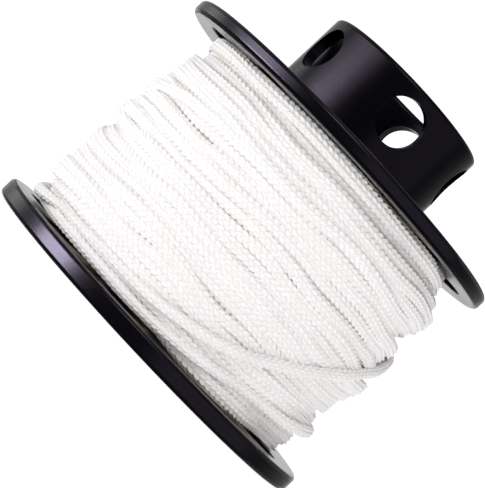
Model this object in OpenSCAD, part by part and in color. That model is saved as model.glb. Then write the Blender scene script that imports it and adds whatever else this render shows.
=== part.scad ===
// Line spool with a finger bore and a perforated grip, wound with braided line.
// Millimetres. The spool stands on its lower flange: z = 0 is the face it rests on,
// and the Z axis is the axis of the drum. Directions are in degrees from +X.

/* [Flanges] */
// Diameter of both flanges
flange_d = 80; // [76:1:96]
// Thickness of the lower flange
lower_flange_t = 3.6; // [3.2:0.1:5]
// Thickness of the upper flange
upper_flange_t = 3; // [2.4:0.1:4.5]
// Rounding of the lower flange's rim
lower_edge_r = 0.8; // [0.2:0.05:1.2]
// Rounding of the upper flange's rim
upper_edge_r = 0.9; // [0.2:0.05:1.5]
// Height of the line space between the flanges
line_gap = 47.3; // [40:0.1:56]

/* [Windows] */
// Number of round windows in each flange
window_n = 9; // [6:1:10]
// Diameter of a window
window_d = 12; // [9:0.5:12.5]
// Width of the rim outside the windows
rim_w = 4.4; // [3.6:0.1:5.6]
// Chamfer on the edges of a window
window_chamfer = 0.3; // [0.1:0.05:0.5]
// Direction of one window of the upper flange
upper_window_turn = -83; // [-90:1:90]
// Direction of one window of the lower flange
lower_window_turn = -63; // [-90:1:90]

/* [Drum] */
// Diameter of the drum that the line is wound on
drum_d = 38; // [37.5:0.1:42]
// Diameter of the finger bore through the drum
finger_bore_d = 25; // [22:0.5:26]
// Diameter of the register that centres the lower flange
register_d = 29; // [28:0.1:30]
// Height of the register
register_h = 1.6; // [1:0.1:2]
// Outer diameter of the threaded nose that carries the upper flange and the grip
nose_d = 30; // [29:0.1:32]
// Height of the nose above the upper flange
nose_h = 4; // [3:0.1:4.3]
// Chamfer at the two mouths of the finger bore
bore_chamfer = 0.6; // [0.2:0.1:1]

/* [Grip] */
// Outer diameter of the grip
grip_d = 38.7; // [37.4:0.1:42]
// Height of the grip above the upper flange
grip_h = 17; // [16.8:0.1:24]
// Wall of the grip
grip_wall = 2.4; // [1.6:0.1:3]
// Number of holes round the grip
grip_hole_n = 5; // [3:1:6]
// Diameter of a hole in the grip
grip_hole_d = 9.8; // [8:0.1:10]
// Height of the plain band above the holes
grip_lip = 2.4; // [1.6:0.1:2.8]
// Direction of one hole of the grip
grip_hole_turn = -80; // [-90:1:90]
// Rounding of the grip's free edge, outside and inside
grip_edge_r = 0.9; // [0.2:0.05:1.1]

/* [Screws] */
// Number of countersunk screws that hold the lower flange
screw_n = 3; // [3:1:6]
// Diameter of a screw
screw_d = 3; // [2.5:0.5:3]
// Diameter of its countersunk head
screw_head_d = 5.5; // [5:0.1:5.8]
// Length of a screw with its head
screw_l = 8; // [6:1:12]
// Width across the flats of its socket
screw_socket_w = 2; // [1.5:0.1:2.2]
// Direction of one screw
screw_turn = 90; // [-90:1:90]

/* [Line] */
// Diameter of the line
line_d = 2; // [1.6:0.1:2.4]
// Height of the flanges' rim above the wound line
line_margin = 5.4; // [4.6:0.1:8]
// How far the winding drops beside the upper flange
upper_slope = 2.8; // [1:0.1:4]
// How far the winding drops beside the lower flange
lower_slope = 1; // [0.5:0.1:3]
// How far the winding swells in the middle
belly = 0.9; // [0:0.1:1.4]
// Height of the line's anchor hole above the lower flange
anchor_z = 5; // [4:0.5:12]
// Diameter of a stopper knot
knot_d = 4.2; // [3.6:0.1:5]

/* [Hidden] */
// Radial clearance of the register, the nose and the screws
fit_gap = 0.05;
// Clearance between the winding and the metal round it
line_clear = 0.35;
// Least gap wanted between neighbouring turns, before their sway
turn_gap = 0.6;
// Clearance round a screw's thread where it passes the flange
screw_pass = 0.1;
// Depth of a screw's head below the face
screw_sink = 0.1;
// Clearance round the line in its anchor hole, and round and behind the knot in its pocket
anchor_clear = 0.2;
knot_clear = 0.4;
// Overlap of cutting tools past the faces they cut
cut = 1;
// Distance between the two wraps of a stopper knot
wrap_step = 1.6;
// Gap between the end knot and the turns under it
knot_gap = 0.2;
// Gap between the inner layers and the outer turns
layer_gap = 0.05;

flange_r = flange_d / 2;
drum_r = drum_d / 2;
bore_r = finger_bore_d / 2;
upper_z = lower_flange_t + line_gap;
grip_z = upper_z + upper_flange_t;
window_circle_r = flange_r - rim_w - window_d / 2;
screw_circle_r = (register_d / 2 + drum_r) / 2;
grip_bore_r = grip_d / 2 - grip_wall;
knot_l = line_d + wrap_step;
grip_hole_z = grip_z + grip_h - grip_lip - grip_hole_d / 2;

// The outer turns. The angle a grows from 0 at the start, under the upper flange, to
// wind_a at the lower flange; then the line climbs on the winding, rises a little, crosses
// it in a long bend and ends behind it.
ring_step = 15;
tube_sides = 6;
line_r = line_d / 2;
wind_low = lower_flange_t + line_clear + line_r;
wind_rise = line_gap - 2 * (line_clear + line_r);
turns = floor(2 * wind_rise / (line_d + turn_gap)) / 2;
wind_a = 360 * turns;
climb_a = 60;
rise_a = 90;
cross_a = 92;
tail_a = 110;
end_a = wind_a + climb_a + rise_a + cross_a + tail_a;
cross_turn = -90;
start_turn = cross_turn - rise_a - climb_a - wind_a;
// Shares of the line space that the line covers as it rises, crosses and ends
rise_share = 0.094;
cross_share = 0.457;
tail_share = 0.06;
// Unevenness of the turns: across, in and out, and how often they go in and out in one turn
sway = 0.6;
heave = 0.25;
heave_n = 2.3;
// How sharply the winding drops beside each flange
upper_power = 10;
lower_power = 12;
// How far the crossing line and the end knot lie above the turns under them
cross_lift = line_d + turn_gap + heave;
knot_lift = (line_d + knot_d) / 2 + heave + knot_gap;
// The most of a wall's thickness that the rounding of one of its edges may take
edge_share = 0.45;
// How deep the straight sides of the tube cut below its round path
chord_sag = flange_r * (1 - cos(ring_step / 2));

function smooth(t) = let (c = min(max(t, 0), 1)) c * c * (3 - 2 * c);
function share(z) = min(max((z - lower_flange_t) / line_gap, 0), 1);

// Radius of the winding's outside at height z
function wound_r(z) = let (u = share(z)) flange_r - line_margin + belly * sin(180 * u)
    - upper_slope * pow(u, upper_power) - lower_slope * pow(1 - u, lower_power);

// Where the line lies at angle a along the outer turns: its height, its lift and its point
function wind_height(a) = let (u = 1 - min(a, wind_a) / wind_a)
    wind_low + wind_rise * u + sway * pow(sin(180 * u), 2) * sin(start_turn + a);
function cross_height(a) = let (b = a - wind_a - climb_a) wind_low + line_gap
    * (rise_share * smooth(b / rise_a) + cross_share * smooth((b - rise_a) / cross_a)
        + tail_share * smooth((b - rise_a - cross_a) / tail_a));
function climb(a) = smooth((a - wind_a) / climb_a);
function line_lift(a) = cross_lift * climb(a)
    + (knot_lift - cross_lift) * smooth((a - end_a + climb_a) / climb_a);
function line_point(a) =
    let (z = a < wind_a + climb_a ? wind_height(a) : cross_height(a),
        r = wound_r(z) - line_r + heave * sin(heave_n * a) * (1 - climb(a)) + line_lift(a),
        t = start_turn + a)
    [r * cos(t), r * sin(t), z];

line_path = [for (i = [0 : ceil(end_a / ring_step)]) line_point(min(i * ring_step, end_a))];

function unit(v) = v / norm(v);
function path_dir(p, i) = unit(p[min(i + 1, len(p) - 1)] - p[max(i - 1, 0)]);

// Rings of a tube along path p, each square to the path
function tube_ring(p, i, r) =
    let (t = path_dir(p, i), n = unit(cross(t, cross([p[i].x, p[i].y, 0], t))), b = cross(t, n))
    [for (k = [0 : tube_sides - 1]) let (w = 360 * (k + 0.5) / tube_sides)
        p[i] + r * (cos(w) * n + sin(w) * b)];

// One closed tube of triangles along path p
module tube(p, r) {
    n = len(p);
    s = tube_sides;
    points = [for (i = [0 : n - 1]) each tube_ring(p, i, r)];
    walls = [for (i = [0 : n - 2]) for (k = [0 : s - 1])
        let (a = i * s + k, b = i * s + (k + 1) % s)
        each [[a, b, a + s], [b, b + s, a + s]]];
    first = [for (k = [1 : s - 2]) [0, k + 1, k]];
    last = [for (k = [1 : s - 2]) [(n - 1) * s, (n - 1) * s + k, (n - 1) * s + k + 1]];
    polyhedron(points, concat(walls, first, last));
}

// Distance from point q to the stretch between a and b
function stretch_gap(q, a, b) = let (d = b - a, t = min(max((q - a) * d / (d * d), 0), 1))
    norm(q - a - t * d);
// Least gap between the line's own turns, from each ring to each stretch half a turn away or more
function least_gap(p) = let (half = 180 / ring_step)
    min([for (i = [0 : len(p) - 1]) for (j = [i + half : 1 : len(p) - 2])
        stretch_gap(p[i], p[j], p[j + 1])]) - line_d;

module at_turns(n, turn, r) {
    for (i = [0 : n - 1]) rotate(turn + i * 360 / n) translate([r, 0, 0]) children();
}

// Turned disc of radius r and height h, its rim rounded by edge_r, as far as its height allows
module disc(r, h, edge_r) {
    edge = min(edge_r, edge_share * h);
    rotate_extrude($fn = 180) {
        square([r - edge, h]);
        translate([0, edge]) square([r, h - 2 * edge]);
        for (z = [edge, h - edge]) translate([r - edge, z]) circle(edge, $fn = 32);
    }
}

// Cutter for a round hole of diameter d through height h, chamfered at both ends
module chamfered_hole(d, h, chamfer) {
    translate([0, 0, -cut]) cylinder(h + 2 * cut, d = d, $fn = 72);
    translate([0, 0, -cut]) cylinder(chamfer + cut, d1 = d + 2 * (chamfer + cut), d2 = d, $fn = 72);
    translate([0, 0, h - chamfer])
        cylinder(chamfer + cut, d1 = d, d2 = d + 2 * (chamfer + cut), $fn = 72);
}

module windows(t, turn) {
    at_turns(window_n, turn, window_circle_r) chamfered_hole(window_d, t, window_chamfer);
}

module lower_flange() {
    color("#17171b") difference() {
        disc(flange_r, lower_flange_t, lower_edge_r);
        windows(lower_flange_t, lower_window_turn);
        translate([0, 0, -cut]) cylinder(lower_flange_t + 2 * cut, r = bore_r, $fn = 120);
        translate([0, 0, -cut])
            cylinder(bore_chamfer + cut, r1 = bore_r + bore_chamfer + cut, r2 = bore_r, $fn = 120);
        translate([0, 0, lower_flange_t - register_h])
            cylinder(register_h + cut, d = register_d + 2 * fit_gap, $fn = 120);
        at_turns(screw_n, screw_turn, screw_circle_r) {
            translate([0, 0, -cut])
                cylinder(lower_flange_t + 2 * cut, d = screw_d + 2 * screw_pass, $fn = 48);
            screw_seat();
        }
    }
}

// Cutter for a countersunk head, sunk by screw_sink
module screw_seat() {
    seat_d = screw_head_d + 2 * fit_gap;
    translate([0, 0, -cut]) cylinder(screw_sink + cut, d = seat_d, $fn = 48);
    translate([0, 0, screw_sink]) cylinder(seat_d / 2, d1 = seat_d, d2 = 0, $fn = 48);
}

module upper_flange() {
    color("#17171b") translate([0, 0, upper_z]) difference() {
        disc(flange_r, upper_flange_t, upper_edge_r);
        windows(upper_flange_t, upper_window_turn);
        translate([0, 0, -cut])
            cylinder(upper_flange_t + 2 * cut, d = nose_d + 2 * fit_gap, $fn = 120);
    }
}

module drum_core() {
    nose_top = grip_z + nose_h;
    screw_hole_l = screw_l - lower_flange_t + cut;
    color("#1c1c20") difference() {
        rotate_extrude($fn = 180) polygon([
            [bore_r, lower_flange_t - register_h + fit_gap],
            [register_d / 2, lower_flange_t - register_h + fit_gap],
            [register_d / 2, lower_flange_t],
            [drum_r, lower_flange_t],
            [drum_r, upper_z],
            [nose_d / 2, upper_z],
            [nose_d / 2, nose_top],
            [bore_r + bore_chamfer, nose_top],
            [bore_r, nose_top - bore_chamfer],
        ]);
        at_turns(screw_n, screw_turn, screw_circle_r)
            translate([0, 0, lower_flange_t - cut])
                cylinder(screw_hole_l + cut, d = screw_d + 2 * fit_gap, $fn = 48);
        anchor_place() {
            cylinder(drum_r + cut, d = line_d + 2 * anchor_clear, $fn = 48);
            cylinder(bore_r + knot_l + 2 * knot_clear, d = knot_d + 2 * knot_clear, $fn = 48);
        }
    }
}

// The axis of the anchor hole, from the drum's axis outwards, midway between two screws
module anchor_place() {
    translate([0, 0, lower_flange_t + anchor_z])
        rotate(screw_turn + 180 / screw_n) rotate([0, 90, 0]) children();
}

module grip_ring() {
    edge = min(grip_edge_r, edge_share * grip_wall);
    color("#17171b") translate([0, 0, grip_z]) difference() {
        rotate_extrude($fn = 180) {
            translate([nose_d / 2 + fit_gap, 0]) square([grip_d / 2 - nose_d / 2 - fit_gap, nose_h]);
            translate([grip_bore_r, 0]) square([grip_wall, grip_h - edge]);
            translate([grip_bore_r + edge, 0]) square([grip_wall - 2 * edge, grip_h]);
            for (r = [grip_bore_r + edge, grip_d / 2 - edge])
                translate([r, grip_h - edge]) circle(edge, $fn = 32);
        }
        translate([0, 0, grip_hole_z - grip_z]) for (i = [0 : grip_hole_n - 1])
            rotate(grip_hole_turn + i * 360 / grip_hole_n) translate([nose_d / 2, 0, 0])
                rotate([0, 90, 0]) cylinder(grip_d / 2, d = grip_hole_d, $fn = 72);
    }
}

// Countersunk screw, its head's face at z = 0 and its thread upwards
module screw() {
    head_h = (screw_head_d - screw_d) / 2;
    difference() {
        union() {
            cylinder(head_h, d1 = screw_head_d, d2 = screw_d, $fn = 48);
            cylinder(screw_l, d = screw_d, $fn = 48);
        }
        translate([0, 0, -cut]) cylinder(head_h + cut, d = screw_socket_w / cos(30), $fn = 6);
    }
}

module flange_screws() {
    color("silver") translate([0, 0, screw_sink])
        at_turns(screw_n, screw_turn, screw_circle_r) screw();
}

// The layers under the outer turns, as one plain body round the drum
module line_inner_layers() {
    under = line_d + heave + chord_sag + layer_gap;
    low = lower_flange_t + line_clear;
    high = upper_z - line_clear;
    steps = 24;
    color("#e8e0cf") rotate_extrude($fn = 180) polygon([
        [drum_r + fit_gap, low],
        for (i = [0 : steps]) let (z = low + (high - low) * i / steps) [wound_r(z) - under, z],
        [drum_r + fit_gap, high],
    ]);
}

module line_outer_turns() {
    color("#f4f1ea") tube(line_path, line_r);
    echo(turns = turns, least_gap = least_gap(line_path));
}

// Stopper knot: two wraps of the line round itself, from z = 0 upwards
module stopper_knot() {
    cylinder(knot_l, d = line_d, $fn = 48);
    for (z = [line_d / 2, knot_l - line_d / 2]) translate([0, 0, z])
        rotate_extrude($fn = 48) translate([(knot_d - line_d) / 2, 0]) circle(d = line_d, $fn = 32);
}

module line_anchor_knot() {
    knot_r = bore_r + knot_clear;
    color("#f4f1ea") anchor_place() {
        translate([0, 0, knot_r]) stopper_knot();
        translate([0, 0, knot_r + knot_l - cut])
            cylinder(drum_r - knot_r - knot_l + cut, d = line_d, $fn = 48);
    }
}

module line_end_knot() {
    n = len(line_path);
    dir = unit(line_path[n - 1] - line_path[n - 2]);
    color("#f4f1ea") translate(line_path[n - 1])
        rotate([0, acos(dir.z), atan2(dir.y, dir.x)]) stopper_knot();
}

lower_flange();
upper_flange();
drum_core();
grip_ring();
flange_screws();
line_inner_layers();
line_outer_turns();
line_anchor_knot();
line_end_knot();
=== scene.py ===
"""Diver's finger spool: black anodised aluminium flanges, drum and grip, wound with white
braided line.

The frame is the CAD model's: the spool stands on z = 0 and turns about the Z axis. Blender
works in metres. The named sizes of the winding and of the line are in millimetres, and MM turns
them to metres. Directions round the spool are in degrees from -Y, its front, towards +X."""

import math

import bpy
import numpy as np
from mathutils import Matrix, Vector


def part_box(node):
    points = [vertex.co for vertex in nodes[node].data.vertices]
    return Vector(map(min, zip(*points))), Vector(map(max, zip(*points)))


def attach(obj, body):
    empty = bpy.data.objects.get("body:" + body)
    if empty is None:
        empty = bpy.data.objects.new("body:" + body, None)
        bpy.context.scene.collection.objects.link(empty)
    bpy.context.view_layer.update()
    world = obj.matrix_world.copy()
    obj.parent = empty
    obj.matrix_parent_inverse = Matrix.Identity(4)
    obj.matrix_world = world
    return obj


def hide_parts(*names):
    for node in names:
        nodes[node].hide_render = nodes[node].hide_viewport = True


MM = 0.001

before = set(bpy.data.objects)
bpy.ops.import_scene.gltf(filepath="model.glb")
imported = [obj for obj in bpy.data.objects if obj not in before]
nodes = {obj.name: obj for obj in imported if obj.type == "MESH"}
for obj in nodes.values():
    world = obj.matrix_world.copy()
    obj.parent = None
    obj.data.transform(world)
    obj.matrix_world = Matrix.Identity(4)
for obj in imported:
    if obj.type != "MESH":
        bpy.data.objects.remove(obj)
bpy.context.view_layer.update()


def linear(hex_colour):
    """An sRGB hex colour as linear RGBA."""
    parts = [int(hex_colour[i : i + 2], 16) / 255 for i in (1, 3, 5)]
    return [c / 12.92 if c <= 0.04045 else ((c + 0.055) / 1.055) ** 2.4 for c in parts] + [1.0]


def link(obj):
    bpy.context.scene.collection.objects.link(obj)
    return obj


def feed(node, inputs):
    """Gives a node its inputs: values, or sockets to link from, or nodes whose first output in
    use is linked."""
    for name, value in inputs.items():
        if isinstance(value, bpy.types.Node):
            value = next(output for output in value.outputs if output.enabled)
        if isinstance(value, bpy.types.NodeSocket):
            node.id_data.links.new(value, node.inputs[name])
        else:
            node.inputs[name].default_value = value


def add_node(tree, kind, inputs=None, **settings):
    """Adds a node with its settings and its inputs."""
    node = tree.nodes.new(kind)
    for name, value in settings.items():
        setattr(node, name, value)
    feed(node, inputs or {})
    return node


MATH, VECTOR_MATH = "ShaderNodeMath", "ShaderNodeVectorMath"

# ---------------------------------------------------------------- camera, light and stage

# The picture's height and the camera's focal length, both in pixels
PICTURE_PX = 488
FOCAL_PX = 1888.2
SENSOR = 36
CAMERA_PLACE = (-0.25 * MM, -368.6 * MM, 23.3 * MM)
CAMERA_PITCH = 0.010
CAMERA_ROLL = math.radians(46.9)
# The floor's side in metres, how far it lies under the spool in mm, and its own light
FLOOR_SIDE = 12
FLOOR_DROP = 0.05
FLOOR_GLOW = 0.75


def direction(degrees):
    """A level direction in degrees from -Y towards +X."""
    turn = math.radians(degrees)
    return (math.sin(turn), -math.cos(turn), 0)


# The surroundings, each laid over those before it: where it lies, the cosines between which it
# fades in, and its brightness. They start from the left wall's brightness, and go on with the
# right wall, what lies below, the dim front and the white back.
LEFT_WALL = 0.52
SURROUNDINGS = ((direction(90), -1.0, 1.0, 0.25), ((0, 0, -1), 0.02, 0.25, 0.23),
                (direction(-12), 0.74, 0.95, 0.22), (direction(180), 0.90, 0.975, 1.30))
# The lights: name, direction and rise in degrees, distance and size in metres, brightness, and
# whether they light the line. Those that don't are cards for the metal to reflect.
LIGHTS = (("left_softbox", -72, 4, 0.9, (0.9, 0.36), 4.1, True),
          ("right_wall", 50, 8, 1.3, (2.2, 1.2), 0.78, True),
          ("top_softbox", -12, 42, 1.0, (0.42, 0.42), 5.3, True),
          ("left_card", -71, 2, 1.0, (0.50, 0.10), 24, False),
          ("low_left_card", -71, -4, 1.0, (0.50, 0.12), 75, False),
          ("back_left_card", -122, 0, 1.0, (0.40, 0.25), 2, False))
# Height in mm that the lights are aimed at
LIGHTS_AIM = 30
# The brightness that is shown as white, and points of (brightness, brightness shown)
WHITE = 1.13
SHOULDER = ((0.3, 0.3), (0.6, 0.6), (0.8, 0.775), (1.0, 0.915), (1.06, 0.955))
# The tone curve that works on all three colours alike
ALL_COLOURS = 3


def make_camera():
    """The camera, turned about its own axis so that the spool leans to the right."""
    forward = Vector((0, math.cos(CAMERA_PITCH), math.sin(CAMERA_PITCH)))
    level_up = Vector((0, -math.sin(CAMERA_PITCH), math.cos(CAMERA_PITCH)))
    cos_roll, sin_roll = math.cos(CAMERA_ROLL), math.sin(CAMERA_ROLL)
    right = Vector((cos_roll, 0, 0)) + sin_roll * level_up
    up = Vector((-sin_roll, 0, 0)) + cos_roll * level_up
    data = bpy.data.cameras.new("camera")
    data.sensor_width = SENSOR
    data.lens = FOCAL_PX / PICTURE_PX * SENSOR
    camera = link(bpy.data.objects.new("camera", data))
    turn = Matrix((right, up, -forward)).transposed().to_4x4()
    camera.matrix_world = Matrix.Translation(CAMERA_PLACE) @ turn
    bpy.context.scene.camera = camera


def make_floor():
    """A white floor that glows like a light table, so that shadows stay faint. It is left out of
    reflections: the metal shows the dim surroundings instead."""
    bpy.ops.mesh.primitive_plane_add(size=FLOOR_SIDE, location=(0, 0, -FLOOR_DROP * MM))
    sheet = bpy.context.object
    sheet.name = "floor"
    material = bpy.data.materials.new("white_floor")
    material.use_nodes = True
    feed(material.node_tree.nodes["Principled BSDF"],
         {"Base Color": linear("#fefefe"), "Roughness": 1.0, "Specular IOR Level": 0.0,
          "Emission Color": linear("#ffffff"), "Emission Strength": FLOOR_GLOW})
    sheet.data.materials.append(material)
    sheet.visible_glossy = False


def make_world():
    """Surroundings that the metal shows and the line is lit by: pale, brighter on the left, dim
    in front and white behind the spool."""
    world = bpy.data.worlds.new("studio")
    bpy.context.scene.world = world
    world.use_nodes = True
    tree = world.node_tree
    tree.nodes.clear()
    seen = add_node(tree, "ShaderNodeTexCoord").outputs["Generated"]
    walls = LEFT_WALL
    for towards, low, high, level in SURROUNDINGS:
        facing = add_node(tree, VECTOR_MATH, {0: seen, 1: towards}, operation="DOT_PRODUCT")
        walls = add_node(tree, "ShaderNodeMapRange",
                         {"Value": facing, "From Min": low, "From Max": high,
                          "To Min": walls, "To Max": level}, interpolation_type="SMOOTHSTEP")
    light = add_node(tree, "ShaderNodeBackground", {"Color": (1, 1, 1, 1), "Strength": walls})
    add_node(tree, "ShaderNodeOutputWorld", {"Surface": light})


def add_light(name, degrees, rise, distance, size, brightness, lights_line):
    """An area light that looks at the spool. Its brightness is what a mirror would show."""
    up = math.radians(rise)
    away = Vector(direction(degrees)) * math.cos(up) + Vector((0, 0, math.sin(up)))
    data = bpy.data.lights.new(name, "AREA")
    data.shape = "RECTANGLE"
    data.size, data.size_y = size
    data.energy = brightness * math.pi * size[0] * size[1]
    lamp = link(bpy.data.objects.new(name, data))
    lamp.location = away * distance + Vector((0, 0, LIGHTS_AIM * MM))
    lamp.rotation_euler = (-away).to_track_quat("-Z", "Y").to_euler()
    lamp.visible_diffuse = lights_line


def set_tone():
    """How brightness is shown: true up to 0.6, then ever more gently up to white, so that white
    line in full light keeps its stitches."""
    view = bpy.context.scene.view_settings
    view.view_transform = "Standard"
    view.use_curve_mapping = True
    view.curve_mapping.white_level = (WHITE, WHITE, WHITE)
    curve = view.curve_mapping.curves[ALL_COLOURS]
    curve.points[-1].location = (1.0, 1.0)
    for light, shown in SHOULDER:
        curve.points.new(light / WHITE, shown)
    view.curve_mapping.update()


make_camera()
make_floor()
make_world()
for light in LIGHTS:
    add_light(*light)
set_tone()

# ---------------------------------------------------------------- the line's sizes

LINE_D = 2.0
LINE_R = LINE_D / 2
# The wound line is pressed flat and square: its half height off the drum and its half width, in
# mm and so also in radii of the round line, and the power of its outline, where 2 is an ellipse
PRESSED_HALF_HEIGHT = 0.90
PRESSED_HALF_WIDTH = 1.34
PRESSED_POWER = 4.0
# The last turns lie loose, so their line is nearly round
LOOSE_SHAPE = {"Half Height": 0.97, "Half Width": 1.03, "Power": 2.2}
# Distance between the middles of two strands that touch, one on the other and side by side
PRESSED_HIGH = 1.70
PRESSED_WIDE = 1.93
# The braid: columns of stitches round the line, the length of a stitch, how far it slants, as a
# share of its length, and how deep the hollows between stitches are
PLAITS = 10
STITCH_PITCH = 1.47
STITCH_SLANT = 0.50
STITCH_RELIEF = 0.36
# How round the stitches are along and across the line, as powers of a wave: in the mesh, and in
# the finer relief of the material
MESH_ROUNDNESS = (0.9, 0.35)
FINISH_ROUNDNESS = (1.0, 0.4)
# Neighbouring columns lie this share of a stitch before and after the even place
STITCH_STAGGER = 0.25


def add_stitches(tree, columns, stitches, slant, roundness):
    """The braid's herringbone, in a tree that counts the columns round the line and the stitches
    along it. Gives the height of the stitch from 0 to 1, its column, and its place along it."""
    across = add_node(tree, MATH, {0: columns}, operation="FRACT")
    column = add_node(tree, MATH, {0: columns}, operation="FLOOR")
    odd = add_node(tree, MATH, {0: column, 1: 2.0}, operation="MODULO")
    hand = add_node(tree, MATH, {0: odd, 1: 2.0, 2: -1.0}, operation="MULTIPLY_ADD")
    off_middle = add_node(tree, MATH, {0: across, 1: 0.5}, operation="SUBTRACT")
    side = add_node(tree, MATH, {0: off_middle, 1: hand}, operation="MULTIPLY")
    slanted = add_node(tree, MATH, {0: side, 1: slant}, operation="MULTIPLY")
    leaning = add_node(tree, MATH, {0: stitches, 1: slanted}, operation="ADD")
    stagger = add_node(tree, MATH, {0: hand, 1: STITCH_STAGGER}, operation="MULTIPLY")
    place = add_node(tree, MATH, {0: leaning, 1: stagger}, operation="ADD")
    half_turns = add_node(tree, MATH, {0: place, 1: math.pi}, operation="MULTIPLY")
    wave = add_node(tree, MATH, {0: half_turns}, operation="SINE")
    hump = add_node(tree, MATH, {0: wave}, operation="ABSOLUTE")
    ridge = add_node(tree, MATH, {0: hump, 1: roundness[0]}, operation="POWER")
    half_turn = add_node(tree, MATH, {0: across, 1: math.pi}, operation="MULTIPLY")
    bow = add_node(tree, MATH, {0: half_turn}, operation="SINE")
    bulge = add_node(tree, MATH, {0: bow, 1: roundness[1]}, operation="POWER")
    height = add_node(tree, MATH, {0: ridge, 1: bulge}, operation="MULTIPLY")
    return height, column, place


# ---------------------------------------------------------------- materials

# Turning marks are a few hundredths of a millimetre apart, and the satin's grain is finer still.
# Both are too fine to show, so they are drawn this far apart, in mm.
TURNING_MARKS = 0.22
SATIN_GRAIN = 0.35
# How deep they are in mm, and how much of it shows
TURNING_DEPTH = 0.02
TURNING_STRENGTH = 0.35
# The gloss of the dyed oxide changes from place to place: the size of a patch in mm, and how
# much smoother or rougher it is
DYE_PATCH = 9
DYE_SMOOTHER, DYE_ROUGHER = 0.04, 0.06
# Grain of the screws' stainless steel in mm, and their least and most roughness
STEEL_GRAIN = 0.3
STEEL_ROUGHNESS = (0.24, 0.38)
# Yarns side by side in one stitch, and how much they and the gaps between them stand out,
# in relief and as painted shade in the gaps
YARNS = 2
YARN_WAVE, YARN_LEVEL = -0.25, 0.75
# The yarns' relief in mm and how much of it shows
YARN_DEPTH = 0.12
YARN_STRENGTH = 0.6
# How much cleaner or greyer one stitch is than the next
STITCH_CHANCE, STITCH_CLEAN = 0.5, 0.7


def new_material(name):
    material = bpy.data.materials.new(name)
    material.use_nodes = True
    return material, material.node_tree, material.node_tree.nodes["Principled BSDF"]


def turned_metal(name, colour, roughness, marks_apart):
    """Turned aluminium, anodised and dyed black: a near black satin with fine turning marks
    round the axis. It reflects little face on and nearly all at a grazing angle."""
    material, tree, shader = new_material(name)
    place = add_node(tree, "ShaderNodeTexCoord").outputs["Object"]
    parts = add_node(tree, "ShaderNodeSeparateXYZ", {"Vector": place})
    flat = add_node(tree, VECTOR_MATH, {0: place, 1: (1, 1, 0)}, operation="MULTIPLY")
    radius = add_node(tree, VECTOR_MATH, {0: flat}, operation="LENGTH")
    ring = add_node(tree, "ShaderNodeCombineXYZ", {"X": radius, "Y": parts.outputs["Z"]})
    marks = add_node(tree, "ShaderNodeTexNoise",
                     {"Vector": ring, "Scale": 1 / (marks_apart * MM), "Detail": 2.0},
                     noise_dimensions="2D")
    grain = add_node(tree, "ShaderNodeTexNoise",
                     {"Vector": place, "Scale": 1 / (SATIN_GRAIN * MM), "Detail": 3.0})
    mixed = add_node(tree, MATH, {0: marks, 1: grain}, operation="ADD")
    bump = add_node(tree, "ShaderNodeBump", {"Height": mixed, "Strength": TURNING_STRENGTH,
                                             "Distance": TURNING_DEPTH * MM})
    patches = add_node(tree, "ShaderNodeTexNoise",
                       {"Vector": place, "Scale": 1 / (DYE_PATCH * MM)})
    gloss = add_node(tree, "ShaderNodeMapRange",
                     {"Value": patches, "To Min": roughness - DYE_SMOOTHER,
                      "To Max": roughness + DYE_ROUGHER})
    feed(shader, {"Base Color": linear(colour), "Metallic": 1.0, "Roughness": gloss,
                  "Normal": bump})
    return material


def stainless(name, colour):
    """Stainless steel, turned and plain: bright, with an uneven soft gloss."""
    material, tree, shader = new_material(name)
    place = add_node(tree, "ShaderNodeTexCoord").outputs["Object"]
    grain = add_node(tree, "ShaderNodeTexNoise",
                     {"Vector": place, "Scale": 1 / (STEEL_GRAIN * MM)})
    gloss = add_node(tree, "ShaderNodeMapRange", {"Value": grain, "To Min": STEEL_ROUGHNESS[0],
                                                  "To Max": STEEL_ROUGHNESS[1]})
    feed(shader, {"Base Color": linear(colour), "Metallic": 1.0, "Roughness": gloss})
    return material


def braided_polyester(name, colour, painted_shade_colour):
    """Braided polyester line: a herringbone of fine yarns, matt with a soft sheen. Its colour is
    painted lighter on the crests of the stitches and yarns, as painted highlight, and darker in
    the hollows between them, as painted shade; each stitch also differs a little at random. The
    pattern follows the UV map: U counts the columns of stitches round the line, V the stitches
    along it."""
    material, tree, shader = new_material(name)
    uv = add_node(tree, "ShaderNodeTexCoord").outputs["UV"]
    parts = add_node(tree, "ShaderNodeSeparateXYZ", {"Vector": uv})
    height, column, place = add_stitches(tree, parts.outputs["X"], parts.outputs["Y"],
                                         STITCH_SLANT, FINISH_ROUNDNESS)
    turns = add_node(tree, MATH, {0: place, 1: 2 * math.pi * YARNS}, operation="MULTIPLY")
    wave = add_node(tree, MATH, {0: turns}, operation="COSINE")
    yarns = add_node(tree, MATH, {0: wave, 1: YARN_WAVE, 2: YARN_LEVEL},
                     operation="MULTIPLY_ADD")
    stitch = add_node(tree, MATH, {0: height, 1: yarns}, operation="MULTIPLY")
    bump = add_node(tree, "ShaderNodeBump", {"Height": stitch, "Strength": YARN_STRENGTH,
                                             "Distance": YARN_DEPTH * MM})
    along = add_node(tree, MATH, {0: place}, operation="FLOOR")
    cell = add_node(tree, "ShaderNodeCombineXYZ", {"X": column, "Y": along})
    chance = add_node(tree, "ShaderNodeTexWhiteNoise", {"Vector": cell}, noise_dimensions="2D")
    own = add_node(tree, MATH, {0: chance, 1: STITCH_CHANCE, 2: STITCH_CLEAN},
                   operation="MULTIPLY_ADD")
    crest_light_and_tone = add_node(tree, MATH, {0: stitch, 1: own}, operation="MULTIPLY")
    # Painted light: the crests of stitches and yarns get the light colour as painted highlight,     their hollows the darker colour as painted shade, and each stitch a little random tone
    tint = add_node(tree, "ShaderNodeMix", {"Factor": crest_light_and_tone, "A": linear(painted_shade_colour),
                                            "B": linear(colour)}, data_type="RGBA")
    feed(shader, {"Base Color": tint, "Normal": bump, "Roughness": 0.75,
                  "Specular IOR Level": 0.25, "Sheen Weight": 0.15, "Sheen Roughness": 0.5})
    return material


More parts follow.
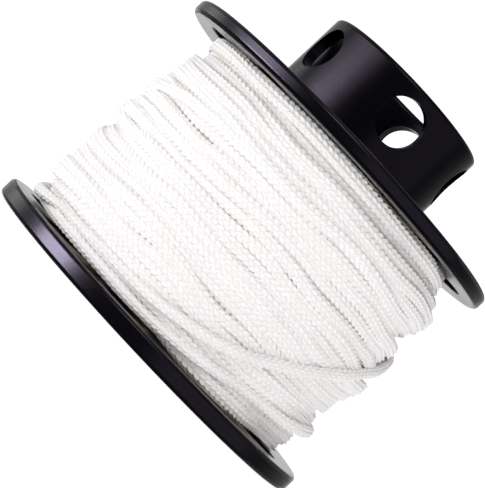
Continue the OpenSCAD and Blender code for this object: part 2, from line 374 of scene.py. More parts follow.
# The flanges are satin, the grip is dyed deeper, and the drum between them is duller
flange_finish = turned_metal("anodised_aluminium", "#1e1c22", 0.27, TURNING_MARKS)
grip_finish = turned_metal("anodised_grip", "#161419", 0.27, TURNING_MARKS)
drum_finish = turned_metal("anodised_drum", "#202024", 0.34, 0.3)
screw_finish = stainless("stainless_steel", "#c9c7c4")
# The outer line is white and spotless, painted a little greyer in its hollows as painted shade.
# The layers under it are the same white line painted cream, deeper in their hollows: painted
# warm shade for the light that comes to them from line to line.
braid = braided_polyester("braided_polyester", "#fffcfe", "#e5e1df")
shaded_under_braid = braided_polyester("inner_braid_painted_shade", "#f7f1e3", "#e0cfa8")

for node, finish in (("lower_flange", flange_finish), ("upper_flange", flange_finish),
                     ("grip_ring", grip_finish), ("drum_core", drum_finish),
                     ("flange_screws", screw_finish)):
    nodes[node].data.materials.clear()
    nodes[node].data.materials.append(finish)

# ---------------------------------------------------------------- the winding's form

low_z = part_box("lower_flange")[1].z / MM
high_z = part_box("upper_flange")[0].z / MM
flange_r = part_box("lower_flange")[1].x / MM
drum_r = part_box("drum_core")[1].x / MM
line_gap = high_z - low_z

# Steps of the line in one turn
STEPS = 240
STEP_ANGLE = 360 / STEPS
# Clearance of the line from the lower and the upper flange, and the heights between which its
# middle can lie
CLEAR_LOW, CLEAR_HIGH = 0.45, 0.10
LOWEST = low_z + CLEAR_LOW + PRESSED_HALF_WIDTH
HIGHEST = high_z - CLEAR_HIGH - PRESSED_HALF_WIDTH
# The wound surface: how far it lies within the flanges' rims, how it swells at mid height, and
# how it drops to the upper and the lower flange, with the powers that keep each drop short
WITHIN_RIM = 5.4
SWELL = 0.9
TOP_DROP, TOP_DROP_POWER = 2.8, 10
FOOT_DROP, FOOT_DROP_POWER = 1.0, 12
# Depth of the layers that are laid turn by turn, on a plain core
LAID_DEPTH = 7.0

# The layers laid turn by turn: turns, short sway and long sway in mm
UNDER_LAYERS = ((22, 0.4, 0.5), (22, 0.5, 0.8), (22, 0.6, 1.1))
# Bends of the two sways in each turn
SHORT_SWAY, LONG_SWAY = 2.3, 0.6
# How firmly the layers keep to their planned heights: those below, the last, and the last turns
UNDER_GRIP, TOP_GRIP, LAST_GRIP = 0.25, 2.5, 6.0
# The last full layer, downwards: degrees along the line from -180 and height in mm. One turn
# strays over its neighbours, up on the left side and down again on the right.
TOP_LAYER = ((0, 49.6), (180, 49.5), (540, 47.5), (900, 45.4), (1080, 44.4), (1800, 40.5),
             (2160, 38.4), (2265, 37.2), (2308, 36.3), (2340, 36.5), (2430, 37.2), (2520, 36.4),
             (2610, 35.9), (2625, 36.2), (2663, 38.0), (2700, 38.9), (2760, 39.4), (2790, 39.1),
             (2820, 38.0), (2850, 36.3), (2880, 34.9), (2970, 34.3), (3028, 33.9), (3060, 34.1),
             (3150, 34.4), (3240, 32.9), (3388, 31.8), (3420, 31.9), (3510, 32.0), (3600, 31.0),
             (5040, 23.0), (7200, 11.3), (8280, 5.3))
# The last two turns: direction in degrees and height in mm
LAST_TURNS = ((-180, 5.0), (-120, 4.8), (-60, 4.7), (-3, 5.4), (17, 7.1), (34, 8.9), (46, 10.5),
              (70, 11.4), (110, 11.6), (160, 9.8), (200, 8.2), (250, 7.4), (306, 7.5),
              (335, 8.7), (357, 9.4), (377, 11.3), (392, 15.4), (409, 21.1), (426, 26.3),
              (435, 28.2), (444, 30.4), (453, 32.4), (463, 33.9), (480, 34.7), (520, 34.5),
              (562, 33.85))

# How the strands of the last layer lie side by side: amplitude in mm, waves round the spool,
# rise of the wave in radians for each mm of height, and its start
SWAYS = ((0.55, 2, 0.20, 1.0), (0.40, 3, -0.15, 2.2), (0.28, 7, 0.34, 0.4),
         (0.20, 11, -0.55, 3.1))
# Distance from the flanges, in mm, over which these waves die out
SWAY_FADE = 4
# Small unevenness of the last layer: bends in a turn and amplitude in mm, along the axis, and
# twice in and out
WAVER = (15, 0.24)
HEAVES = ((13, 0.08), (5, 0.10))
# How often the strands of the last layer are pressed level with their neighbours
LEVELLING = 4
# How far the layers under the last one are pressed in by it
UNDER_SINK = 0.5
# How the wound surface rises and falls, in the same terms as SWAYS
LUMPS = ((0.35, 1, 0.10, 2.1), (0.22, 3, 0.80, 2.0), (0.12, 5, -1.50, 0.3))
# A valley runs round the winding under its topmost turn: height, depth and half its width
VALLEY_Z, VALLEY_DEPTH, VALLEY_WIDTH = 47.3, 1.4, 1.3
# How far the two loose turns press into the winding under them
LOOSE_SINK = 0.3
# Where neighbouring strands part: direction, height in mm, how far in mm, and half the length
# in degrees
SLITS = ((-90, 33.0, 1.2, 8), (-90, 25.0, 1.8, 12), (-33, 35.0, 1.4, 4), (-26, 23.1, 1.4, 8),
         (-24, 15.6, 1.4, 10), (6, 26.4, 1.1, 12), (6, 24.2, 1.2, 13), (9, 16.8, 1.6, 9),
         (16, 37.4, 1.2, 18), (17, 28.7, 1.2, 6), (18, 14.4, 1.2, 8), (23, 32.7, 1.1, 8),
         (33, 18.3, 1.2, 6), (42, 23.1, 1.4, 8), (44, 25.3, 1.2, 9), (55, 41.0, 1.6, 9),
         (65, 28.3, 2.5, 7), (90, 45.0, 1.6, 12), (90, 36.4, 0.8, 14), (90, 19.3, 1.4, 10),
         (90, 15.8, 1.8, 12))
# The height over which strands change sides at a slit, and over which they close up again
SLIT_EDGE, SLIT_FADE = 0.6, 4
# Where the wound surface sinks in, or swells where the depth is below 0: direction, height and
# depth in mm, half the length in degrees and half the width in mm. First the top edge and the
# broad hollows of both sides, then single strands of the right side and of the left.
HOLLOWS = ((0, 49.6, -0.6, 100, 0.8), (-95, 7.0, 2.2, 45, 3.5), (-90, 16.0, 1.3, 40, 6.5),
           (90, 33.5, 0.9, 35, 4.5), (90, 17.0, 0.9, 40, 4.0),
           (90, 48.7, 2.0, 30, 0.9), (90, 46.0, 1.3, 26, 0.8), (88, 41.8, -1.3, 26, 1.7),
           (90, 37.4, 2.0, 26, 1.3), (90, 33.0, -0.4, 20, 1.5), (90, 26.5, 1.0, 24, 0.9),
           (90, 24.2, -0.8, 22, 1.0), (90, 18.5, 2.1, 24, 0.9), (90, 14.4, 1.8, 24, 1.0),
           (90, 9.2, 1.4, 20, 0.8), (90, 4.2, 1.2, 24, 0.8),
           (-90, 45.4, 1.7, 26, 1.0), (-90, 34.8, -1.0, 24, 0.9), (-90, 32.6, 0.9, 22, 0.9),
           (-90, 28.6, -0.5, 22, 1.5), (-90, 24.4, 2.0, 28, 1.6), (-90, 10.0, 1.7, 22, 1.1))

# How far the line may leave its planned height, and how freely, to find a hollow to lie in
PLAN_REACH = 1.7
PLAN_STEP = 0.1
# How far the line's centre may rise over the winding's profile before the line avoids the place
FULL = -0.6
# What the line shuns while it is laid, as weights: a full place, a place past the flanges, a
# steep step along the axis, and a jump from the turn before
SHUN_FULL, SHUN_OUTSIDE, SHUN_STEEP, SHUN_JUMP = 2, 50, 14, 60
# The height of what isn't laid yet, out of reach; how many turns back the line can rest on; and
# the rounds in which it is drawn taut
NOT_LAID = -99.0
RESTS_ON = 56
TAUT_ROUNDS = 160
# Rounds of smoothing: heights of a turn, then heights and radii of the line once it is laid,
# and once it is pressed and parted
SMOOTH_TURN = 24
SMOOTH_LAID = (6, 10)
SMOOTH_PRESSED = (4, 8)

rng = np.random.default_rng(11)


def wound_r(z):
    """Radius of the winding's outside at height z, in mm, as in the CAD model."""
    u = np.clip((z - low_z) / line_gap, 0, 1)
    return (flange_r - WITHIN_RIM + SWELL * np.sin(np.pi * u) - TOP_DROP * u**TOP_DROP_POWER
            - FOOT_DROP * (1 - u) ** FOOT_DROP_POWER)


def through_points(points):
    """Heights at every step along a smooth curve through points of (degrees, height)."""
    at, height = np.array(points, float).T
    slope = np.gradient(height, at)
    x = np.arange(at[0], at[-1], STEP_ANGLE)
    i = np.clip(np.searchsorted(at, x, side="right") - 1, 0, len(at) - 2)
    h = at[i + 1] - at[i]
    t = (x - at[i]) / h
    return (height[i] * (1 + 2 * t) * (1 - t) ** 2 + slope[i] * h * t * (1 - t) ** 2
            + height[i + 1] * t * t * (3 - 2 * t) + slope[i + 1] * h * t * t * (t - 1))


def wander(turns, bends, size):
    """A smooth random wave over some turns, with the given bends in a turn."""
    spare = 3 / bends
    knots = np.arange(0, turns + spare, 1 / bends) * 360
    wave = through_points(np.stack((knots, rng.uniform(-size, size, len(knots))), axis=1))
    return wave[: turns * STEPS]


def ripple(waves, degrees, heights):
    """The sum of even waves round the spool, at directions in degrees and heights in mm."""
    return sum(size * np.sin(count * np.radians(degrees) + rise * heights + start)
               for size, count, rise, start in waves)


def off_direction(degrees, towards):
    """How far directions lie from another, from -180 to 180 degrees."""
    return (degrees - towards + 180) % 360 - 180


def parted(degrees, heights):
    """How far the strands at these places move up or down to leave the slits open."""
    shift = np.zeros(len(heights))
    for towards, height, opening, half_length in SLITS:
        along = np.exp(-((off_direction(degrees, towards) / half_length) ** 2))
        above = heights - height
        shift += (opening / 2 * along * np.tanh(above / SLIT_EDGE)
                  * np.exp(-np.abs(above) / SLIT_FADE))
    return shift


def sunk(degrees, heights):
    """How far the wound surface lies below its plain form at these places."""
    depth = np.zeros(len(heights))
    for towards, height, most, half_length, half_width in HOLLOWS:
        along = (off_direction(degrees, towards) / half_length) ** 2
        depth += most * np.exp(-along - ((heights - height) / half_width) ** 2)
    return depth


def smooth(values, rounds):
    """Rounds off a row of values, its two ends held."""
    values = values.copy()
    for _ in range(rounds):
        values[1:-1] = (values[:-2] + 2 * values[1:-1] + values[2:]) / 4
    return values


def levelled(radii):
    """The radii of whole turns, drawn towards those of the turns above and below."""
    return smooth(radii.reshape(-1, STEPS), LEVELLING).ravel()


def planned_heights():
    """The height at which each step of the line is meant to lie, and how firmly: layer by layer,
    up and down, never quite even, and at last the two long strands that rise over the winding."""
    heights, grips = [], []
    for layer, (turns, sway, stray) in enumerate(UNDER_LAYERS):
        share = np.arange(turns * STEPS) / (turns * STEPS)
        if layer % 2:
            share = 1 - share
        heights.append(LOWEST + (HIGHEST - LOWEST) * share + wander(turns, SHORT_SWAY, sway)
                       + wander(turns, LONG_SWAY, stray))
        grips.append(np.full(turns * STEPS, UNDER_GRIP))
    top = through_points(TOP_LAYER)
    at = np.arange(len(top)) * STEP_ANGLE
    from_flange = np.minimum(top - LOWEST, HIGHEST - top)
    top += ripple(SWAYS, at, top) * np.clip(from_flange / SWAY_FADE, 0, 1)
    heights.append(top)
    grips.append(np.full(len(top), TOP_GRIP))
    last = through_points(LAST_TURNS)
    heights.append(last)
    grips.append(np.full(len(last), LAST_GRIP))
    return np.clip(np.concatenate(heights), LOWEST, HIGHEST), np.concatenate(grips)


def easiest_row(cost, offsets, plan, start):
    """The row of offsets from the plan, one for each step, of least cost with gentle slopes."""
    drift = np.diff(plan, prepend=plan[0])
    move = offsets[:, None] - offsets[None, :]
    best = cost[:, 0] + SHUN_JUMP * (plan[0] + offsets - start) ** 2
    came_from = np.zeros(cost.shape, int)
    for i in range(1, cost.shape[1]):
        total = best[None, :] + SHUN_STEEP * (move + drift[i]) ** 2
        came_from[:, i] = total.argmin(axis=1)
        best = total.min(axis=1) + cost[:, i]
    row = np.zeros(cost.shape[1], int)
    row[-1] = best.argmin()
    for i in range(cost.shape[1] - 1, 0, -1):
        row[i - 1] = came_from[row[i], i]
    return offsets[row]


def lay_line(plan, grips):
    """Winds the line turn by turn. Each turn looks for the hollows between the strands under
    it, near its planned height, rests on them, and is drawn taut over what it crosses. The
    first step lies at -180 degrees. Returns heights and radii of the line's centre."""
    total = len(plan)
    z, r = np.full(total, NOT_LAID), np.zeros(total)
    droop = math.cos(math.radians(STEP_ANGLE))
    offsets = np.arange(-PLAN_REACH, PLAN_REACH + PLAN_STEP / 2, PLAN_STEP)
    for start in range(0, total, STEPS):
        span = np.arange(start, min(start + STEPS, total))
        rows = [span - k * STEPS for k in range(1, 1 + min(start // STEPS, RESTS_ON))]
        laid_z = np.array([z[row] for row in rows]).reshape(-1, 1, len(span))
        laid_r = np.array([r[row] for row in rows]).reshape(-1, 1, len(span))

        def support(height):
            """Radius at which the line rests, at these heights (one row for each candidate)."""
            rest = wound_r(height) - LAID_DEPTH + LINE_R
            if len(rows):
                gap = (height[None] - laid_z) / PRESSED_WIDE
                over = laid_r + PRESSED_HIGH * np.sqrt(np.maximum(1 - gap**2, 0))
                rest = np.maximum(rest, np.where(np.abs(gap) < 1, over, 0).max(axis=0))
            return rest

        wanted = plan[span]
        tried = wanted[None] + offsets[:, None]
        height = support(tried) - wound_r(tried)
        cost = (height + SHUN_FULL * np.maximum(height - FULL, 0) ** 2
                + grips[span] * offsets[:, None] ** 2)
        cost += SHUN_OUTSIDE * (np.maximum(tried - HIGHEST, 0) + np.maximum(LOWEST - tried, 0))
        begin = z[start - 1] if start else wanted[0]
        here = wanted + easiest_row(cost, offsets, wanted, begin)
        here = smooth(np.concatenate(([begin], here)), SMOOTH_TURN)[1:]
        here = np.clip(here, LOWEST, HIGHEST)
        rest = support(here[None])[0]
        taut = rest.copy()
        first = r[start - 1] if start else taut[0]
        for _ in range(TAUT_ROUNDS):
            padded = np.concatenate(([first], taut, [taut[-1]]))
            taut = np.maximum(rest, (padded[:-2] + padded[2:]) / 2 * droop)
        z[span], r[span] = here, taut
    return smooth(z, SMOOTH_LAID[0]), smooth(r, SMOOTH_LAID[1])


path_z, path_r = lay_line(*planned_heights())
path_degrees = -180 + np.arange(len(path_z)) * STEP_ANGLE
top_start = sum(turns for turns, _, _ in UNDER_LAYERS) * STEPS
wound_end = len(path_z) - len(through_points(LAST_TURNS))
top = slice(top_start, wound_end)
top_turns = (wound_end - top_start) // STEPS
path_z[top] += parted(path_degrees[top], path_z[top])
path_z[top] += wander(top_turns, *WAVER)
path_r[top] = levelled(path_r[top])
path_r[top] += sum(wander(top_turns, *heave) for heave in HEAVES)
path_r[:top_start] -= UNDER_SINK
path_r += ripple(LUMPS, path_degrees, path_z)
path_r -= VALLEY_DEPTH * np.exp(-(((path_z - VALLEY_Z) / VALLEY_WIDTH) ** 2))
path_r -= sunk(path_degrees, path_z)
path_r[wound_end:] -= LOOSE_SINK
path_z = np.clip(smooth(path_z, SMOOTH_PRESSED[0]), LOWEST, HIGHEST)
path_r = smooth(path_r, SMOOTH_PRESSED[1])
path_angle = np.radians(path_degrees)
path = np.stack((np.sin(path_angle) * path_r, -np.cos(path_angle) * path_r, path_z), axis=1)

# ---------------------------------------------------------------- the line's tube

# Length of one ring of the tube, and its sides
RING_SPACING = 0.29
TUBE_SIDES = 30
# Turn of the braid round the line along it, in radians for each metre
BRAID_TWIST = 9.0
# The inputs of the tube's tree and their kinds
LINE_INPUTS = (("Line Radius", "Float"), ("Ring Spacing", "Float"), ("Sides", "Int"),
               ("Plaits", "Float"), ("Stitch Pitch", "Float"), ("Stitch Slant", "Float"),
               ("Stitch Relief", "Float"), ("Twist", "Float"), ("Start", "Float"),
               ("Half Height", "Float"), ("Half Width", "Float"), ("Power", "Float"),
               ("Finish", "Material"))


def add_tube(tree, given, facing):
    """Sweeps a ring along the curve. Gives the tube, its length so far and the curve's place at
    each point, and the share of the way round the ring."""
    rings = add_node(tree, "GeometryNodeResampleCurve",
                     {"Curve": given["Geometry"], "Length": given["Ring Spacing"]}, mode="LENGTH")
    level = add_node(tree, "GeometryNodeSetCurveNormal", {"Curve": rings}, mode=facing)
    so_far = add_node(tree, "GeometryNodeSplineParameter").outputs["Length"]
    length = add_node(tree, MATH, {0: so_far, 1: given["Start"]}, operation="ADD")
    tilt = add_node(tree, MATH, {0: length, 1: given["Twist"]}, operation="MULTIPLY")
    twisted = add_node(tree, "GeometryNodeSetCurveTilt", {"Curve": level, "Tilt": tilt})
    along = add_node(tree, "GeometryNodeCaptureAttribute", {"Geometry": twisted})
    along.capture_items.new("FLOAT", "along")
    along.capture_items.new("VECTOR", "middle")
    feed(along, {1: length, 2: add_node(tree, "GeometryNodeInputPosition")})
    ring = add_node(tree, "GeometryNodeCurvePrimitiveCircle",
                    {"Resolution": given["Sides"], "Radius": given["Line Radius"]})
    around = add_node(tree, "GeometryNodeCaptureAttribute", {"Geometry": ring})
    around.capture_items.new("FLOAT", "around")
    index = add_node(tree, "GeometryNodeInputIndex")
    turn = add_node(tree, MATH, {0: index, 1: given["Sides"]}, operation="DIVIDE")
    feed(around, {1: turn})
    tube = add_node(tree, "GeometryNodeCurveToMesh",
                    {"Curve": along, "Profile Curve": around, "Fill Caps": True})
    return tube, along.outputs[1], along.outputs[2], around.outputs[1]


def add_pressing(tree, given, tube, middle):
    """Presses the tube flat and square: its section, round about the middle, gets the given half
    height away from the Z axis, half width along it, and the power of its outline."""
    position = add_node(tree, "GeometryNodeInputPosition")
    off_middle = add_node(tree, VECTOR_MATH, {0: position, 1: middle}, operation="SUBTRACT")
    level = add_node(tree, VECTOR_MATH, {0: middle, 1: (1, 1, 0)}, operation="MULTIPLY")
    outwards = add_node(tree, VECTOR_MATH, {0: level}, operation="NORMALIZE")
    high = add_node(tree, VECTOR_MATH, {0: off_middle, 1: outwards}, operation="DOT_PRODUCT")
    wide = add_node(tree, "ShaderNodeSeparateXYZ", {"Vector": off_middle}).outputs["Z"]
    squares, powers = [], []
    for part in (high, wide):
        squares.append(add_node(tree, MATH, {0: part, 1: part}, operation="MULTIPLY"))
        size = add_node(tree, MATH, {0: part}, operation="ABSOLUTE")
        powers.append(add_node(tree, MATH, {0: size, 1: given["Power"]}, operation="POWER"))
    square = add_node(tree, MATH, dict(enumerate(squares)), operation="ADD")
    reach = add_node(tree, MATH, {0: square, 1: 0.5}, operation="POWER")
    power = add_node(tree, MATH, dict(enumerate(powers)), operation="ADD")
    root = add_node(tree, MATH, {0: 1.0, 1: given["Power"]}, operation="DIVIDE")
    outline = add_node(tree, MATH, {0: power, 1: root}, operation="POWER")
    squaring = add_node(tree, MATH, {0: reach, 1: outline}, operation="DIVIDE")
    shifts = []
    for part, name in ((high, "Half Height"), (wide, "Half Width")):
        scale = add_node(tree, MATH, {0: squaring, 1: given[name]}, operation="MULTIPLY")
        change = add_node(tree, MATH, {0: scale, 1: 1.0}, operation="SUBTRACT")
        shifts.append(add_node(tree, MATH, {0: part, 1: change}, operation="MULTIPLY"))
    off_drum = add_node(tree, VECTOR_MATH, {0: outwards, "Scale": shifts[0]}, operation="SCALE")
    on_axis = add_node(tree, "ShaderNodeCombineXYZ", {"Z": shifts[1]})
    shift = add_node(tree, VECTOR_MATH, {0: off_drum, 1: on_axis}, operation="ADD")
    return add_node(tree, "GeometryNodeSetPosition", {"Geometry": tube, "Offset": shift})


def line_tree(facing):
    """Geometry Nodes that sweep the braided line along a curve. facing is how its rings keep
    their up side: Z_UP on the drum, MINIMUM_TWIST in a knot."""
    tree = bpy.data.node_groups.new("braided_line", "GeometryNodeTree")
    face = tree.interface
    face.new_socket("Geometry", in_out="INPUT", socket_type="NodeSocketGeometry")
    for name, kind in LINE_INPUTS:
        face.new_socket(name, in_out="INPUT", socket_type="NodeSocket" + kind)
    face.new_socket("Geometry", in_out="OUTPUT", socket_type="NodeSocketGeometry")
    given = add_node(tree, "NodeGroupInput").outputs
    tube, along, middle, around = add_tube(tree, given, facing)
    stitches = add_node(tree, MATH, {0: along, 1: given["Stitch Pitch"]}, operation="DIVIDE")
    columns = add_node(tree, MATH, {0: around, 1: given["Plaits"]}, operation="MULTIPLY")
    height, _, _ = add_stitches(tree, columns, stitches, given["Stitch Slant"], MESH_ROUNDNESS)
    raised = add_node(tree, MATH, {0: height, 1: 0.5}, operation="SUBTRACT")
    relief = add_node(tree, MATH, {0: raised, 1: given["Stitch Relief"]}, operation="MULTIPLY")
    normal = add_node(tree, "GeometryNodeInputNormal").outputs["Normal"]
    push = add_node(tree, VECTOR_MATH, {0: normal, "Scale": relief}, operation="SCALE")
    stitched = add_node(tree, "GeometryNodeSetPosition", {"Geometry": tube, "Offset": push})
    pressed = add_pressing(tree, given, stitched, middle)
    # The last column of faces ends at a whole turn, where the ring's points start again from 0
    face_around = add_node(tree, "GeometryNodeFieldOnDomain", {"Value": around}, domain="FACE",
                           data_type="FLOAT")
    ahead = add_node(tree, MATH, {0: face_around, 1: around}, operation="SUBTRACT")
    past_seam = add_node(tree, MATH, {0: ahead, 1: 0.25}, operation="GREATER_THAN")
    whole = add_node(tree, MATH, {0: around, 1: past_seam}, operation="ADD")
    column = add_node(tree, MATH, {0: whole, 1: given["Plaits"]}, operation="MULTIPLY")
    uv = add_node(tree, "ShaderNodeCombineXYZ", {"X": column, "Y": stitches})
    mapped = add_node(tree, "GeometryNodeStoreNamedAttribute",
                      {"Geometry": pressed, "Name": "UVMap", "Value": uv},
                      data_type="FLOAT2", domain="CORNER")
    soft = add_node(tree, "GeometryNodeSetShadeSmooth", {"Geometry": mapped})
    real = add_node(tree, "GeometryNodeRealizeInstances", {"Geometry": soft})
    painted = add_node(tree, "GeometryNodeSetMaterial",
                       {"Geometry": real, "Material": given["Finish"]})
    add_node(tree, "NodeGroupOutput", {"Geometry": painted})
    return tree


def make_curve(name, points):
    """A curve object through points given in mm."""
    data = bpy.data.curves.new(name, "CURVE")
    data.dimensions = "3D"
    spline = data.splines.new("POLY")
    spline.points.add(len(points) - 1)
    flat = np.ones((len(points), 4))
    flat[:, :3] = np.asarray(points) * MM
    spline.points.foreach_set("co", flat.ravel())
    return link(bpy.data.objects.new(name, data))


def sweep_line(name, points, tree, start=0.0, **sizes):
    """The braided line along points in mm, as a plain mesh. sizes replace the tree's inputs."""
    guide = make_curve(name + "_guide", points)
    values = {"Line Radius": LINE_R * MM, "Ring Spacing": RING_SPACING * MM,
              "Sides": TUBE_SIDES, "Plaits": PLAITS, "Stitch Pitch": STITCH_PITCH * MM,
              "Stitch Slant": STITCH_SLANT, "Stitch Relief": STITCH_RELIEF * MM,
              "Twist": BRAID_TWIST, "Start": start * MM, "Half Height": PRESSED_HALF_HEIGHT,
              "Half Width": PRESSED_HALF_WIDTH, "Power": PRESSED_POWER, "Finish": braid}
    values.update(sizes)
    modifier = guide.modifiers.new("line", "NODES")
    modifier.node_group = tree
    for item in tree.interface.items_tree:
        if item.item_type == "SOCKET" and item.in_out == "INPUT" and item.name in values:
            modifier[item.identifier] = values[item.name]
    bpy.context.view_layer.update()
    shaped = guide.evaluated_get(bpy.context.evaluated_depsgraph_get())
    mesh = bpy.data.meshes.new_from_object(shaped)
    mesh.name = name
    bpy.data.objects.remove(guide)
    return link(bpy.data.objects.new(name, mesh))


def finish_line(piece, replaced=None):
    """Tells the frame what a piece of line rides on and what it replaces."""
    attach(piece, "root")
    if replaced:
        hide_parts(replaced)


# ---------------------------------------------------------------- the outer turns

# Turns that are drawn in full, and turns in one piece
OUTER_TURNS = 28
PIECE_TURNS = 4

drum_line = line_tree("Z_UP")
first_outer = wound_end - OUTER_TURNS * STEPS
start_length = 0.0
for count, begin in enumerate(range(first_outer, wound_end, PIECE_TURNS * STEPS), 1):
    points = path[begin : min(begin + PIECE_TURNS * STEPS, wound_end) + 1]
    piece = sweep_line(f"outer_turns_{count}", points, drum_line, start=start_length)
    start_length += float(np.linalg.norm(np.diff(points, axis=0), axis=1).sum())
    finish_line(piece, "line_outer_turns" if count == 1 else None)

# ---------------------------------------------------------------- the loose turns and the knots

# The stopper knots: diameter and length over all, radius of the line drawn tight, and its wraps
KNOT_D = 4.8
KNOT_L = 4.6
KNOT_LINE_R = 0.80
KNOT_WRAPS = 2.6
KNOT_SHAPE = {"Line Radius": KNOT_LINE_R * MM, "Half Height": 1.0, "Half Width": 1.0,
              "Power": 2.0, "Twist": 0.0}
# Points along a knot, and the share of its length over which a wrap leaves its middle
KNOT_POINTS = 70
KNOT_LEAVES = 0.1
# The loose end rises over this many steps to the knot's middle, and goes on through the knot,
# from this far on, in this many points, to end this far behind it
KNOT_RISE_STEPS = 20
KNOT_ENTRY = 0.3
KNOT_END_POINTS = 12
KNOT_TAIL = 2.6


def make_knot(name, middle, along, up, replaced):
    """A stopper knot: the line wrapped round itself and drawn tight, about the direction along."""
    share = np.linspace(0, 1, KNOT_POINTS)[:, None]
    turn = 2 * math.pi * KNOT_WRAPS * share
    lift = ((KNOT_D / 2 - KNOT_LINE_R)
            * np.clip(np.minimum(share, 1 - share) / KNOT_LEAVES, 0, 1) ** 0.5)
    points = (middle + along * (share - 0.5) * (KNOT_L - 2 * KNOT_LINE_R)
              + lift * (np.cos(turn) * up + np.sin(turn) * np.cross(along, up)))
    finish_line(sweep_line(name, points, knot_line, **KNOT_SHAPE), replaced)


outwards = path[-1] * (1, 1, 0) / path_r[-1]
forward = (path[-1] - path[-4]) / np.linalg.norm(path[-1] - path[-4])
ease = (1 - np.cos(np.linspace(0, math.pi, KNOT_RISE_STEPS))) / 2
loose = path[wound_end:].copy()
loose[-KNOT_RISE_STEPS:] += (ease * (KNOT_D / 2 - PRESSED_HALF_HEIGHT))[:, None] * outwards
end_middle = loose[-1] + forward * KNOT_L / 2
ahead = np.linspace(KNOT_ENTRY, KNOT_L + KNOT_TAIL, KNOT_END_POINTS)
loose = np.concatenate((loose, loose[-1] + ahead[:, None] * forward))
finish_line(sweep_line("loose_turns", loose, drum_line, start=start_length, **LOOSE_SHAPE))

knot_line = line_tree("MINIMUM_TWIST")
make_knot("end_knot", end_middle, forward, outwards, "line_end_knot")
anchor_low, anchor_high = (np.array(corner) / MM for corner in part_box("line_anchor_knot"))
anchor_middle = (anchor_low + anchor_high) / 2
anchor_along = anchor_middle * (1, 1, 0) / np.linalg.norm(anchor_middle[:2])
make_knot("anchor_knot", anchor_middle, anchor_along, np.array((0, 0, 1.0)), "line_anchor_knot")

# ---------------------------------------------------------------- the inner layers

# The turns under the drawn ones are plain: every second step of the path, ring length, sides
INNER_STEP = 2
INNER_SHAPE = {"Ring Spacing": 1.4 * MM, "Sides": 8, "Stitch Relief": 0.0, "Finish": shaded_under_braid}
# The bed of line under the outer turns, where it shows between them: depth under their crests,
# the width of the gaps that it closes, the step of its mesh along the axis, how many turns it
# follows, and rounds of smoothing along the axis and round it
BED_DEPTH = 0.75
BED_REACH = 0.48
BED_STEP = 0.16
BED_TURNS = OUTER_TURNS + 4
BED_SMOOTH_Z, BED_SMOOTH_ROUND = 3, 6
# Its usual radius, as a share of the flanges', by which its stitches are counted
BED_STITCHED = 0.85
# Its clearance from the flanges and from the drum
BED_OFF_FLANGE, BED_OFF_DRUM = 0.1, 0.05
# The layers seen on its ends through the windows: how many, points across each, and the depth
# of the hollows between them
END_LAYERS, END_POINTS, END_DIP = 8, 4, 0.5


def slide(values, reach, pick):
    """The largest or least of each row within reach steps, along the last axis."""
    padded = np.pad(values, ((0, 0), (reach, reach)), mode="edge")
    windows = np.lib.stride_tricks.sliding_window_view(padded, 2 * reach + 1, axis=1)
    return pick(windows, axis=2)


def bed_radii(heights):
    """Radius of the bed in every direction (rows) and at every height, a little under the outer
    turns, with the gaps between touching strands closed."""
    last = wound_end - wound_end % STEPS
    turns_z = path_z[:last].reshape(-1, STEPS)[-BED_TURNS:].T
    turns_r = path_r[:last].reshape(-1, STEPS)[-BED_TURNS:].T
    gap = np.abs(heights[None, :, None] - turns_z[:, None, :]) / PRESSED_HALF_WIDTH
    rise = PRESSED_HALF_HEIGHT * np.maximum(1 - gap**PRESSED_POWER, 0) ** (1 / PRESSED_POWER)
    crest = np.where(gap < 1, turns_r[:, None, :] + rise, drum_r).max(axis=2)
    reach = round(BED_REACH / BED_STEP)
    closed = slide(slide(crest, reach, np.max), reach, np.min)
    for _ in range(BED_SMOOTH_Z):
        closed[:, 1:-1] = (closed[:, :-2] + closed[:, 1:-1] + closed[:, 2:]) / 3
    outside = closed - BED_DEPTH
    for _ in range(BED_SMOOTH_ROUND):
        outside = (np.roll(outside, 1, axis=0) + 2 * outside + np.roll(outside, -1, axis=0)) / 4
    return outside


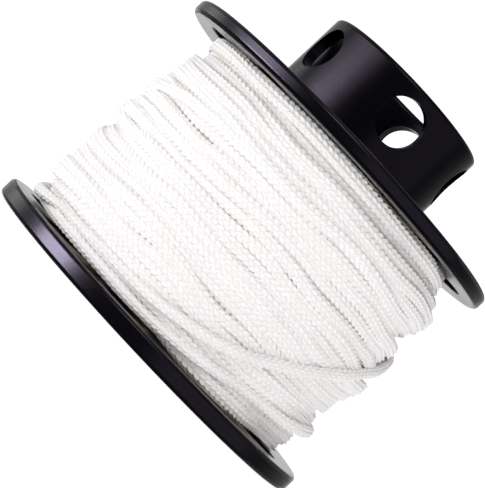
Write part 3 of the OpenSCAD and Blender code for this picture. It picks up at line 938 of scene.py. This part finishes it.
def make_core():
    """The body of line under the outer turns: a ring whose outside follows them in their gaps,
    and whose ends show its layers side by side."""
    heights = np.arange(low_z + BED_OFF_FLANGE, high_z - BED_OFF_FLANGE, BED_STEP)
    outside = bed_radii(heights)
    inside = drum_r + BED_OFF_DRUM
    layer = np.arange(END_LAYERS * END_POINTS) / END_POINTS
    dip = END_DIP * (1 - np.abs(np.sin(np.pi * layer)))
    low_end = inside + (outside[:, :1] - inside) * layer / END_LAYERS
    high_end = inside + (outside[:, -1:] - inside) * layer[::-1] / END_LAYERS
    radii = np.concatenate((low_end, outside, high_end), axis=1)
    levels = np.concatenate((heights[0] + dip, heights, heights[-1] - dip[::-1]))
    n = len(levels)
    angles = np.radians(-180 + np.arange(STEPS) * STEP_ANGLE)
    vertices = np.stack((np.sin(angles)[:, None] * radii, -np.cos(angles)[:, None] * radii,
                         np.broadcast_to(levels, radii.shape)), axis=2).reshape(-1, 3) * MM
    # Each face spans a step round the axis (k) and one across the ring's section (i)
    grid = [(k, i) for k in range(STEPS) for i in range(n)]
    faces = [(k * n + i, (k + 1) % STEPS * n + i, (k + 1) % STEPS * n + (i + 1) % n,
              k * n + (i + 1) % n) for k, i in grid]
    mesh = bpy.data.meshes.new("inner_layers")
    mesh.from_pydata(vertices.tolist(), [], faces)
    # U counts the columns of stitches across the section, V the stitches round the axis
    way = np.cumsum(np.hypot(np.diff(levels), np.diff(radii.mean(axis=0))))
    across = np.concatenate(([0], way, [way[-1] + line_gap])) / STITCH_PITCH
    stitches = round(2 * math.pi * flange_r * BED_STITCHED / STITCH_PITCH) / STEPS
    corners = [(across[i + up], stitches * (k + step)) for k, i in grid
               for step, up in ((0, 0), (1, 0), (1, 1), (0, 1))]
    mesh.uv_layers.new(name="UVMap").data.foreach_set("uv", np.array(corners).ravel())
    # The under layers' cream finish, which is painted shade
    mesh.materials.append(shaded_under_braid)
    mesh.shade_smooth()
    return link(bpy.data.objects.new("inner_layers", mesh))


inner_path = path[: first_outer + 1 : INNER_STEP]
finish_line(sweep_line("inner_turns", inner_path, drum_line, **INNER_SHAPE))
finish_line(make_core(), "line_inner_layers")
